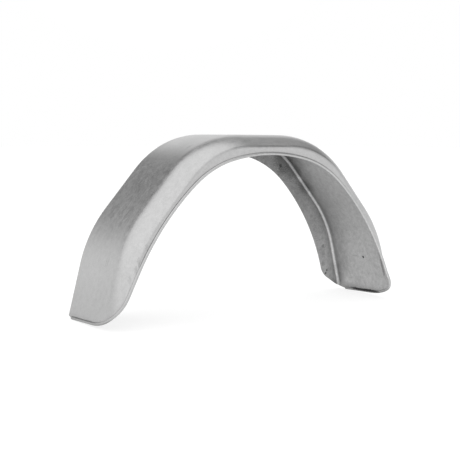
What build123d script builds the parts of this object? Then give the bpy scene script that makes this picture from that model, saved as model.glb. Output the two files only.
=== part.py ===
# Pressed sheet steel mudguard for a single trailer wheel
# Millimetres and degrees. X runs along the guard, Y across it, Z is up.
# The origin lies on the ground under the middle of the crown.
# The rolled edge faces the road side (-Y), the flat flange faces the trailer (+Y).

import os
from math import cos, radians, sin, tan

from build123d import *

# Sheet and overall sizes
sheet = 1.2                  # thickness of the steel
width = 200.0                # outer face of the skirt to outer face of the flange
height = 371.0               # underside of the rolled edge to the top of the crown

# Side view of the tread, from the middle of the crown down one leg
crown_half_flat = 53.0
crown_bend_radius = 207.0
crown_bend_angle = 49.7
slope_length = 103.5
knee_radius = 269.0
knee_angle = 26.9

# Cross section
fold_radius = 8.0            # outer radius of the fold between tread and flange
shoulder_radius = 68.0       # wide part of the rounded shoulder
shoulder_angle = 45.0        # how far the wide part turns on the crown
shoulder_end_angle = 27.0    # and at the bottom of the legs, where it is flatter
skirt_bend_radius = 11.0     # tighter bend from the shoulder into the skirt
blank_depth = 62.0           # depth of skirt and flange before they are trimmed

# Both rims are three arcs in side view. Each arc ends at a share of the way along a part of the
# tread, and at a depth below it there, square to the tread.
near_crown_depth = 38.0
near_shares = (0.28, 0.01, 0.88)      # of the crown bend, the slope and the knee
near_depths = (44.8, 37.7, 28.6)
far_crown_depth = 40.0
far_shares = (0.13, 0.07, 0.40)       # of the crown bend, the slope and the leg
far_depths = (46.1, 44.7, 46.5)

# Corners at the bottom of the leg. Each turn starts and ends at the same distance from its corner point.
bottom_rise = 8.0            # how much the bottom edge climbs towards the skirt
near_turn_share = 0.546      # that distance, as a share of the side it starts on
far_turn_share = 0.15        # and, for both far turns, as a share of the length of the leg

# Rolled edge
bead_radius = 3.2
bead_sides = 12              # flats that stand for the round, about a tenth of a millimetre off it
bead_stop_gap = 24.0         # stops this far from the flange on each leg
corner_shares = (0.27, 0.36, 0.51, 0.74, 1)   # of the way round the corner, where its arcs end

# Spare length of the blank, reach of the cutting shapes, sections in the legs
spare = 12.0
reach = 1.5 * width
stations = 6


def skin(turn, inset):
    """One side of the sheet in cross section, from the flange round to the skirt."""
    shoulder_start = (shoulder_radius * sin(radians(turn))
                      + skirt_bend_radius * (1 - sin(radians(turn))) - width / 2)
    flange = Line((width / 2 - inset, -blank_depth), (width / 2 - inset, -fold_radius))
    fold = JernArc(flange @ 1, flange % 1, fold_radius - inset, 90)
    tread = Line(fold @ 1, (shoulder_start, -inset))
    shoulder = JernArc(tread @ 1, tread % 1, shoulder_radius - inset, turn)
    bend = JernArc(shoulder @ 1, shoulder % 1, skirt_bend_radius - inset, 90 - turn)
    skirt = Line(bend @ 1, (inset - width / 2, -blank_depth))
    return flange @ 0, skirt @ 1


def sheet_section(turn):
    """Closed cross section of the sheet for one turn of the shoulder."""
    with BuildLine() as outline:
        outer_far, outer_near = skin(turn, 0)
        inner_far, inner_near = skin(turn, sheet)
        Line(outer_far, inner_far)
        Line(outer_near, inner_near)
    make_face(outline.edges())


# Side line of the tread down to the end of the knee, where the section stays the same
with BuildLine(Plane.XZ) as arch_line:
    crown = Line((0, height), (crown_half_flat, height))
    crown_bend = JernArc(crown @ 1, (1, 0), crown_bend_radius, -crown_bend_angle)
    slope = PolarLine(crown_bend @ 1, slope_length, -crown_bend_angle)
    knee = JernArc(slope @ 1, slope % 1, knee_radius, -knee_angle)

# Directions in the leg: along it downwards, and out of the tread
lean = radians(crown_bend_angle + knee_angle)
along = Vector(cos(lean), 0, -sin(lean))
outward = Vector(sin(lean), 0, cos(lean))
across = Vector(0, 1, 0)

# Straight leg below the knee, where the shoulder grows flatter
leg_length = ((knee @ 1).Z - bead_radius) / sin(lean)
leg_end = knee @ 1 + along * leg_length

# Half of the pressed sheet before it is trimmed
with BuildPart() as blank:
    arch = arch_line.line
    with BuildSketch(Plane(arch @ 0, x_dir=across, z_dir=arch % 0)):
        sheet_section(shoulder_angle)
    sweep(path=arch)
    for station in range(stations + 1):
        share = station / stations
        ease = (1 - share) ** 3 * (1 + 3 * share)
        turn = shoulder_end_angle + (shoulder_angle - shoulder_end_angle) * ease
        place = knee @ 1 + along * ((leg_length + spare) * share)
        with BuildSketch(Plane(place, x_dir=across, z_dir=along)):
            sheet_section(turn)
    loft()
    outside = [face for face in blank.faces() if face.normal_at().dot(outward - across) > 0]

# Side line of the leg, which carries the end of the far rim
leg = Line(knee @ 1, leg_end)


def rim(crown_depth, parts, shares, depths):
    """Three arcs in side view, level at the crown, with their ends below these places of the tread."""
    start, way = Vector(0, height - crown_depth), Vector(1, 0)
    for part, share, depth in zip(parts, shares, depths):
        place, run = part @ share, part % share
        end = Vector(place.X + run.Z * depth, place.Z - run.X * depth)
        arc = TangentArc(start, end, tangent=way)
        start, way = end, arc % 1
    return end, way


with BuildLine() as near_rim:
    near_low, near_way = rim(near_crown_depth, (crown_bend, slope, knee), near_shares, near_depths)
with BuildLine() as far_rim:
    far_low, far_way = rim(far_crown_depth, (crown_bend, slope, leg), far_shares, far_depths)

# Planes square on to the two bottom corners of the leg, seen from outside
near_face = Plane.XZ.offset(width / 2)
far_face = Plane.XZ.offset(-width / 2)
near_corner = Plane(leg_end, x_dir=across + outward, z_dir=outward - across)
far_corner = Plane(leg_end, x_dir=across - outward, z_dir=outward + across)


def seen_in(corner, point):
    """A point of the model as seen in a corner plane."""
    local = corner.to_local_coords(point)
    return Vector(local.X, local.Y)


def seen_rim(corner, face, low, way):
    """End and direction of a rim as seen in a corner plane."""
    end = seen_in(corner, face.from_local_coords(low))
    return end, (seen_in(corner, face.from_local_coords(low + way)) - end).normalized()


def turned(start, corner, end, turn_reach):
    """Lines from start to end by way of a corner point, which an arc rounds off."""
    first, last = (corner - start).normalized(), (end - corner).normalized()
    side = Line(start, corner - first * turn_reach)
    turn = TangentArc(side @ 1, corner + last * turn_reach, tangent=first)
    Line(turn @ 1, end)
    return side, turn


# Trim line of the near corner, from the rim round to where the rolled edge stops
near_end, near_run = seen_rim(near_corner, near_face, near_low, near_way)
near_toe = near_end + near_run * ((bottom_rise - near_end.Y) / near_run.Y)
bead_stop = leg_end + across * (width / 2 - bead_stop_gap)
near_stop = seen_in(near_corner, bead_stop)
with BuildLine() as near_trim:
    near_side, near_turn = turned(near_end, near_toe, near_stop,
                                  near_turn_share * (near_toe - near_end).length)

# Trim line of the far corner, cut off at a slant from the rim to the fold
far_end, far_run = seen_rim(far_corner, far_face, far_low, far_way)
far_toe = seen_in(far_corner, leg_end + across * (width / 2))
far_stop = seen_in(far_corner, leg_end)
far_reach = far_turn_share * leg_length
slant_top = far_end + far_run * far_reach
slant = (far_toe - slant_top).normalized()
with BuildLine() as far_trim:
    top_turn = TangentArc(far_end, slant_top + slant * far_reach, tangent=far_run)
    turned(top_turn @ 1, far_toe, far_stop, far_reach)

# Line of the rolled edge: the near rim, round the corner, then the bottom of the leg
skirt_line = near_face * near_rim.wire()
round_trim = near_corner.offset(reach / 2) * Wire([near_side.edge(), near_turn.edge()])
corner_line = round_trim.project_to_shape(
    Compound(children=outside), near_corner.z_dir * -1).sort_by_distance(skirt_line @ 1)[0]
# The projected line may run either way, so it is measured from the end nearer the skirt
from_top = (corner_line @ 0 - skirt_line @ 1).length < (corner_line @ 1 - skirt_line @ 1).length
corner_arcs = []
start, way = skirt_line @ 1, skirt_line % 1
for share in corner_shares:
    corner_arcs.append(TangentArc(start, corner_line @ (share if from_top else 1 - share), tangent=way))
    start, way = corner_arcs[-1] @ 1, corner_arcs[-1] % 1
bead_line = Wire(skirt_line.edges() + [arc.edge() for arc in corner_arcs] + [Line(start, bead_stop).edge()])

# Half of the guard, trimmed and with its rolled edge
with BuildPart() as half_guard:
    add(blank.part)
    # Wheel opening, cut to the near rim on one side and the far rim on the other
    for edge_line, side in ((near_rim, 1), (far_rim, -1)):
        with BuildSketch(Plane.XZ):
            with BuildLine():
                add(edge_line.line)
                low = edge_line.line @ 1
                Polyline(low, (0, low.Y - low.X / tan(lean)), edge_line.line @ 0)
            make_face()
        extrude(amount=side * reach, mode=Mode.SUBTRACT)
    # Both bottom corners of the leg
    for corner, trim, first, last in ((near_corner, near_trim, near_end, near_stop),
                                      (far_corner, far_trim, far_end, far_stop)):
        edge = reach if first.X > 0 else -reach
        with BuildSketch(corner):
            with BuildLine():
                add(trim.line)
                Polyline(last, (-edge, 0), (-edge, -2 * spare), (edge, -2 * spare), (edge, first.Y), first)
            make_face()
        extrude(amount=reach, both=True, mode=Mode.SUBTRACT)
    # Rolled edge
    with BuildSketch(Plane(bead_line @ 0, z_dir=bead_line % 0)):
        RegularPolygon(bead_radius, bead_sides)
    sweep(path=bead_line)

# The other leg is the same, mirrored, and the whole is centred across its width
with BuildPart() as mudguard:
    with Locations((0, bead_radius / 2, 0)):
        add(half_guard.part)
    mirror(about=Plane.YZ)

mudguard.part.label = "mudguard"
os.makedirs("parts", exist_ok=True)
export_step(mudguard.part, "parts/mudguard.step")
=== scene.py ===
"""Looks of the pressed steel mudguard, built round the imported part. Metres, same frame as the part."""

import math

import bpy
from mathutils import Matrix, Vector


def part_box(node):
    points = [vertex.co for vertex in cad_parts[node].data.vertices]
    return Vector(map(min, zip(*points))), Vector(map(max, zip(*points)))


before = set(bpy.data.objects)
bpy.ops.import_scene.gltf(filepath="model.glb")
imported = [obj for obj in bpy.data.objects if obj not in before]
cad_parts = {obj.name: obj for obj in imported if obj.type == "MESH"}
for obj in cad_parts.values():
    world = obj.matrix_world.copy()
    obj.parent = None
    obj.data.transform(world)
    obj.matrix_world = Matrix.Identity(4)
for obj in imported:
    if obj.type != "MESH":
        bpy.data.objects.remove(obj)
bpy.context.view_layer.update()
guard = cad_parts["mudguard"]
low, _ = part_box("mudguard")

# Viewpoint of the photograph
CAMERA_PLACE = Vector((-1.1178, -1.6098, 0.3623))
CAMERA_TURN = math.radians(33.92)    # from +Y towards +X
CAMERA_DIP = math.radians(1.46)      # below the horizon
CAMERA_ROLL = math.radians(0.46)
SENSOR_WIDTH = 36.0                  # millimetres, as is the lens
LENS = 71.96
FRAME_SHIFT = -0.1473                # the photograph is cut below the lens axis

# Studio
FLOOR_SIZE = 60.0
FLOOR_GREY = 0.38
FLOOR_LIFT = 0.76                    # extra white of the floor in the picture and in reflections
ROOM_GREY = 0.20
# Low white wall all round, the backdrop of the picture
WALL_WHITE = 1.0
WALL_TOP = 11.0                      # degrees above the floor where it starts to fade
WALL_END = 28.0                      # and where it has faded into the room
# Soft lit areas of the room: direction from -Y towards +X, height, where the light starts to fade, where it
# ends (all in degrees), strength
LIT_AREAS = {
    "left": (-64, 52, 57, 65, 1.26),
    "front": (12, 16, 16, 34, 0.95),
    "right": (110, 48, 10, 40, 0.46),
    "back": (150, 20, 10, 31, 1.05),
}

# Steel: brightness, and roughness from its smoothest to its roughest places
STEEL = 0.52
SMOOTH = 0.29
ROUGH = 0.39
INSIDE_DULLER = 0.10                 # extra roughness of the inner side
SIDE_EDGE = 0.02                     # softness of the change from the inner to the outer side, in metres

# Unevenness of the zinc: size of the pattern (per metre), detail, how far it changes the brightness
PATTERNS = {
    "clouds": (12.0, 4.0, 0.22),
    "spangle": (110.0, 3.0, 0.34),
    "streaks": (1.0, 2.0, 0.12),
    "grain": (420.0, 2.0, 0.34),
}
STREAK_SIZES = (2.5, 260.0)          # round the arch (per radian) and across it (per metre)
UNEVEN_RANGE = 0.3                   # swing of the patterns that takes the roughness from end to end
OUTSIDE_CONTRAST = 0.75              # how strongly the patterns show on each side of the sheet
INSIDE_CONTRAST = 1.8

# Shallow dents of the surface
DENT_PATTERN = (55.0, 3.0)           # pattern per metre, detail
DENT_STREAKS = 0.3                   # share of the streaks that is added to it
DENT_HEIGHT = 0.0010
DENT_STRENGTH = 0.35

# Brightness of the inner side: painted shade under the tread, painted light on the flange and the skirt
UNDERSIDE_SHADE = 0.77
INNER_SIDE_LIGHT = 1.30
SIDEWAYS = (0.3, 0.9)                # how far a face is turned sideways where the second takes over
# Brightness by height: from one height to another (metres), and the share of the brightness left at each
INSIDE_HEIGHT_SHADE = (0.03, 0.30, 1.10, 0.90)   # painted shade, darker under the crown
OUTSIDE_HEIGHT_TONE = (0.01, 0.14, 0.86, 1.0)   # darker towards the feet
# Painted shade in corners and grooves: reach in metres, darkest share
CORNER_SHADE = (0.030, 0.62)
GROOVE_SHADE = (0.0045, 0.84)
SHADE_OPENNESS = (0.45, 0.95)         # how open a place is where the painted shade is full, and where it ends
SHADE_SAMPLES = 8

# Marks seen in the photograph, real ones and painted shade: place, half sizes (metres), how dark
INSIDE_MARKS = {
    "speck on the tread": ((0.3375, -0.0067, 0.0887), (0.0036, 0.0036, 0.0036), 0.92),
    "scratch beside the speck": ((0.3375, 0.0220, 0.0890), (0.0040, 0.0190, 0.0015), 0.16),
    "chip high on the flange": ((0.1739, 0.1004, 0.3000), (0.0050, 0.0040, 0.0070), 0.55),
    "stain round the high chip": ((0.1800, 0.1004, 0.2880), (0.0140, 0.0040, 0.0140), 0.24),
    "chip low on the flange": ((0.3046, 0.1004, 0.1056), (0.0035, 0.0040, 0.0050), 0.35),
    "stain below the low chip": ((0.3030, 0.1004, 0.0940), (0.0100, 0.0040, 0.0180), 0.14),
    "stain near the foot": ((0.3051, 0.1004, 0.0644), (0.0060, 0.0040, 0.0080), 0.22),
    "upper speck at the foot": ((0.3172, 0.1004, 0.0465), (0.0030, 0.0040, 0.0035), 0.75),
    "lower speck at the foot": ((0.3133, 0.1004, 0.0395), (0.0035, 0.0040, 0.0035), 0.70),
    # Painted shade beside the inner fold, in three patches
    "painted shade by the fold, top": ((0.1780, 0.0940, 0.3120), (0.0300, 0.0240, 0.0300), 0.32),
    "painted shade by the fold, middle": ((0.2080, 0.0940, 0.2880), (0.0280, 0.0240, 0.0280), 0.30),
    "painted shade by the fold, lower": ((0.2450, 0.0920, 0.2500), (0.0260, 0.0220, 0.0260), 0.22),
    # Painted shade along the bottom edge and beside the skirt
    "painted shade along the bottom edge, flange side": ((0.3560, 0.0240, 0.0074), (0.0060, 0.0420, 0.0036), 0.85),
    "painted shade along the bottom edge, skirt side": ((0.3556, -0.0170, 0.0094), (0.0060, 0.0400, 0.0036), 0.85),
    "shade by the skirt": ((0.3380, -0.0710, 0.0750), (0.0150, 0.0060, 0.0380), 0.42),
}
OUTSIDE_MARKS = {
    "scuff on the skirt, top": ((-0.2873, -0.0984, 0.1566), (0.0035, 0.0040, 0.0090), 0.12),
    "scuff on the skirt, upper": ((-0.3034, -0.0970, 0.1312), (0.0035, 0.0050, 0.0120), 0.16),
    "scuff on the skirt, lower": ((-0.3093, -0.0966, 0.1166), (0.0035, 0.0045, 0.0100), 0.16),
    "scuff on the skirt, bottom": ((-0.3195, -0.0922, 0.0963), (0.0035, 0.0045, 0.0130), 0.12),
    "left scratch on the leg": ((-0.3282, -0.0211, 0.1272), (0.0090, 0.0016, 0.0160), 0.13),
    "right scratch on the leg": ((-0.3290, -0.0150, 0.1240), (0.0090, 0.0014, 0.0180), 0.13),
    "smudge on the crown bend": ((-0.1532, -0.0257, 0.3451), (0.0160, 0.0060, 0.0080), 0.14),
}
MARK_EDGE = (0.45, 1.1)              # a mark fades out between these shares of its size
MARK_PATTERN = (420.0, 2.0)          # ragged edge of a mark: pattern per metre, detail
MARK_RAGGED = 1.2                    # and its strength


def node(tree, kind, **inputs):
    """A new shader node with these input values."""
    made = tree.nodes.new(kind)
    for name, value in inputs.items():
        made.inputs[name.replace("_", " ")].default_value = value
    return made


def add_camera():
    """The camera of the photograph, found together with the outline of the guard."""
    forward = Vector((math.sin(CAMERA_TURN) * math.cos(CAMERA_DIP),
                      math.cos(CAMERA_TURN) * math.cos(CAMERA_DIP),
                      -math.sin(CAMERA_DIP)))
    level = Vector((math.cos(CAMERA_TURN), -math.sin(CAMERA_TURN), 0))
    upward = level.cross(forward)
    right = math.cos(CAMERA_ROLL) * level + math.sin(CAMERA_ROLL) * upward
    up = math.cos(CAMERA_ROLL) * upward - math.sin(CAMERA_ROLL) * level
    data = bpy.data.cameras.new("camera")
    data.sensor_width = SENSOR_WIDTH
    data.lens = LENS
    data.shift_y = FRAME_SHIFT
    camera = bpy.data.objects.new("camera", data)
    bpy.context.scene.collection.objects.link(camera)
    facing = Matrix((right, up, -forward)).transposed().to_4x4()
    camera.matrix_world = Matrix.Translation(CAMERA_PLACE) @ facing
    bpy.context.scene.camera = camera


def combine(tree, operation, first, second):
    """Result of a calculation with two values, each a number or the output of another node."""
    made = node(tree, "ShaderNodeMath")
    made.operation = operation
    for slot, value in zip(made.inputs, (first, second)):
        if isinstance(value, (int, float)):
            slot.default_value = value
        else:
            tree.links.new(value, slot)
    return made.outputs[0]


def fade(tree, value, start, end, first, last):
    """A smooth change from first to last while the value goes from start to end."""
    made = node(tree, "ShaderNodeMapRange", From_Min=start, From_Max=end, To_Min=first, To_Max=last)
    made.interpolation_type = "SMOOTHSTEP"
    tree.links.new(value, made.inputs["Value"])
    return made.outputs[0]


def vector(tree, operation, first, second=None):
    """Result of a calculation with vectors; a length or a product comes out as one number."""
    made = tree.nodes.new("ShaderNodeVectorMath")
    made.operation = operation
    for slot, value in zip(made.inputs, (first, second)):
        if isinstance(value, tuple):
            slot.default_value = value
        elif value is not None:
            tree.links.new(value, slot)
    return made.outputs["Value" if operation in ("LENGTH", "DOT_PRODUCT") else "Vector"]


def axes(tree, value):
    """The three numbers of a vector."""
    split = tree.nodes.new("ShaderNodeSeparateXYZ")
    tree.links.new(value, split.inputs[0])
    return split.outputs


def seen_mask(tree):
    """1 for rays that show the background in the picture, in reflections and through glass."""
    path = tree.nodes.new("ShaderNodeLightPath").outputs
    seen = combine(tree, "MAXIMUM", path["Is Camera Ray"], path["Is Glossy Ray"])
    return combine(tree, "MAXIMUM", seen, path["Is Transmission Ray"])


def add_room():
    """A dim room with a low white wall and broad soft lit areas."""
    world = bpy.data.worlds.new("studio")
    bpy.context.scene.world = world
    world.use_nodes = True
    tree = world.node_tree
    where = tree.nodes.new("ShaderNodeTexCoord").outputs["Generated"]
    total = fade(tree, axes(tree, where)["Z"],
                 math.sin(math.radians(WALL_TOP)), math.sin(math.radians(WALL_END)), WALL_WHITE, ROOM_GREY)
    for *angles, strength in LIT_AREAS.values():
        turn, rise, full, end = (math.radians(angle) for angle in angles)
        towards = (math.sin(turn) * math.cos(rise), -math.cos(turn) * math.cos(rise), math.sin(rise))
        facing = vector(tree, "DOT_PRODUCT", where, towards)
        lit = fade(tree, facing, math.cos(end), math.cos(full), 0.0, strength)
        total = combine(tree, "MAXIMUM", total, lit)
    tree.links.new(total, tree.nodes["Background"].inputs["Strength"])
    tree.nodes["Background"].inputs["Color"].default_value = (1, 1, 1, 1)


def add_floor():
    """A pale floor that shows white in the picture but keeps the shadow of the guard."""
    mesh = bpy.data.meshes.new("floor")
    half = FLOOR_SIZE / 2
    corners = [(-half, -half, 0), (half, -half, 0), (half, half, 0), (-half, half, 0)]
    mesh.from_pydata(corners, [], [(0, 1, 2, 3)])
    floor = bpy.data.objects.new("floor", mesh)
    bpy.context.scene.collection.objects.link(floor)
    floor.location.z = low.z
    material = bpy.data.materials.new("floor_white")
    material.use_nodes = True
    tree = material.node_tree
    tree.nodes.clear()
    matt = node(tree, "ShaderNodeBsdfDiffuse", Color=(FLOOR_GREY, FLOOR_GREY, FLOOR_GREY, 1))
    glow = tree.nodes.new("ShaderNodeEmission")
    both = tree.nodes.new("ShaderNodeAddShader")
    out = tree.nodes.new("ShaderNodeOutputMaterial")
    tree.links.new(combine(tree, "MULTIPLY", seen_mask(tree), FLOOR_LIFT), glow.inputs["Strength"])
    tree.links.new(matt.outputs[0], both.inputs[0])
    tree.links.new(glow.outputs[0], both.inputs[1])
    tree.links.new(both.outputs[0], out.inputs["Surface"])
    mesh.materials.append(material)


def cloud(tree, where, scale, detail):
    """An uneven pattern round zero, about a quarter either way."""
    made = node(tree, "ShaderNodeTexNoise", Scale=scale, Detail=detail)
    tree.links.new(where, made.inputs["Vector"])
    return combine(tree, "SUBTRACT", made.outputs["Fac"], 0.5)


def along_guard(tree, where, length_scale, cross_scale):
    """Place measured round the arch, across it and out from the axle, stretched into streaks."""
    x, y, z = axes(tree, where)
    turn = combine(tree, "ARCTAN2", x, z)
    squares = combine(tree, "ADD", combine(tree, "MULTIPLY", x, x), combine(tree, "MULTIPLY", z, z))
    radius = combine(tree, "POWER", squares, 0.5)
    made = tree.nodes.new("ShaderNodeCombineXYZ")
    for slot, value, scale in zip(made.inputs, (turn, y, radius), (length_scale, cross_scale, cross_scale)):
        tree.links.new(combine(tree, "MULTIPLY", value, scale), slot)
    return made.outputs[0]


def by_side(tree, inside, within, without):
    """One value on the inner side of the sheet and another on the outer side."""
    change = combine(tree, "MULTIPLY", inside, combine(tree, "SUBTRACT", within, without))
    return combine(tree, "ADD", without, change)


def unevenness(tree, patterns, inside):
    """Share of the brightness left by the clouds, spangle, streaks and grain of the zinc."""
    total = 0.0
    for name, (_, _, strength) in PATTERNS.items():
        total = combine(tree, "ADD", total, combine(tree, "MULTIPLY", patterns[name], strength))
    total = combine(tree, "MULTIPLY", total, by_side(tree, inside, INSIDE_CONTRAST, OUTSIDE_CONTRAST))
    return combine(tree, "ADD", total, 1.0)


def marks(tree, where, inside):
    """Share of the brightness left by the specks, scuffs and smudges, and by the painted shade by the fold,
    along the bottom edge and by the skirt, each on its own side only.
    """
    ragged = combine(tree, "MULTIPLY", cloud(tree, where, *MARK_PATTERN), MARK_RAGGED)
    outside = combine(tree, "SUBTRACT", 1.0, inside)
    left = 1.0
    for side, group in ((inside, INSIDE_MARKS), (outside, OUTSIDE_MARKS)):
        for place, size, dark in group.values():
            offset = vector(tree, "DIVIDE", vector(tree, "SUBTRACT", where, place), size)
            away = combine(tree, "ADD", vector(tree, "LENGTH", offset), ragged)
            mark = combine(tree, "MULTIPLY", fade(tree, away, *MARK_EDGE, dark, 0.0), side)
            left = combine(tree, "MULTIPLY", left, combine(tree, "SUBTRACT", 1.0, mark))
    return left


def corner_shade(tree, reach, darkest):
    """Painted shade: share of the brightness left in corners and grooves narrower than the reach."""
    corner = node(tree, "ShaderNodeAmbientOcclusion", Distance=reach)
    corner.samples = SHADE_SAMPLES
    return fade(tree, corner.outputs["AO"], *SHADE_OPENNESS, darkest, 1.0)


def inner_side_light_and_shade(tree, facing, inside):
    """Painted light and shade of the inner side: darker under the tread, lighter on the inner sides of
    flange and skirt.
    """
    sideways = combine(tree, "ABSOLUTE", axes(tree, facing)["Y"], 0.0)
    share = fade(tree, sideways, *SIDEWAYS, UNDERSIDE_SHADE, INNER_SIDE_LIGHT)
    return by_side(tree, inside, share, 1.0)


def height_tone(tree, where, inside):
    """Share of the brightness that changes with the height on each side: painted shade under the crown on
    the inner side, darker towards the feet on the outer side.
    """
    height = axes(tree, where)["Z"]
    return by_side(tree, inside, fade(tree, height, *INSIDE_HEIGHT_SHADE), fade(tree, height, *OUTSIDE_HEIGHT_TONE))


def roughness(tree, patterns, inside):
    """Roughness that follows the patterns of the zinc, duller on the inner side."""
    uneven = combine(tree, "ADD", combine(tree, "ADD", patterns["clouds"], patterns["spangle"]),
                     patterns["streaks"])
    made = node(tree, "ShaderNodeMapRange", From_Min=-UNEVEN_RANGE, From_Max=UNEVEN_RANGE,
                To_Min=SMOOTH, To_Max=ROUGH)
    tree.links.new(uneven, made.inputs["Value"])
    return combine(tree, "ADD", made.outputs[0], combine(tree, "MULTIPLY", inside, INSIDE_DULLER))


def dents(tree, where, patterns):
    """Surface direction with the shallow dents and draw marks of the pressing."""
    made = node(tree, "ShaderNodeBump", Strength=DENT_STRENGTH, Distance=DENT_HEIGHT)
    height = combine(tree, "ADD", cloud(tree, where, *DENT_PATTERN),
                     combine(tree, "MULTIPLY", patterns["streaks"], DENT_STREAKS))
    tree.links.new(height, made.inputs["Height"])
    return made.outputs["Normal"]


def galvanised_steel():
    """Dull galvanised steel with the wear, dust and marks of the photograph, and with painted light and
    shade.
    """
    material = bpy.data.materials.new("galvanised_steel_with_painted_light_and_shade")
    material.use_nodes = True
    tree = material.node_tree
    steel = tree.nodes["Principled BSDF"]
    steel.inputs["Metallic"].default_value = 1.0
    surface = tree.nodes.new("ShaderNodeTexCoord")
    where, facing = surface.outputs["Object"], surface.outputs["Normal"]

    # The inner side is the one that faces the axle
    inside = fade(tree, vector(tree, "DOT_PRODUCT", where, facing), -SIDE_EDGE, SIDE_EDGE, 1.0, 0.0)
    patterns = {}
    for name, (scale, detail, _) in PATTERNS.items():
        place = along_guard(tree, where, *STREAK_SIZES) if name == "streaks" else where
        patterns[name] = cloud(tree, place, scale, detail)

    # The tone carries painted shade in corners, grooves, under the tread, under the crown and by the fold,
    # and painted light on the inner flange and skirt
    tone = STEEL
    for share in (unevenness(tree, patterns, inside), marks(tree, where, inside),
                  corner_shade(tree, *CORNER_SHADE), corner_shade(tree, *GROOVE_SHADE),
                  inner_side_light_and_shade(tree, facing, inside), height_tone(tree, where, inside)):
        tone = combine(tree, "MULTIPLY", tone, share)
    tree.links.new(tone, steel.inputs["Base Color"])
    tree.links.new(roughness(tree, patterns, inside), steel.inputs["Roughness"])
    tree.links.new(dents(tree, where, patterns), steel.inputs["Normal"])
    return material


add_camera()
add_room()
add_floor()
guard.material_slots[0].material = galvanised_steel()
bpy.context.scene.view_settings.view_transform = "Standard"
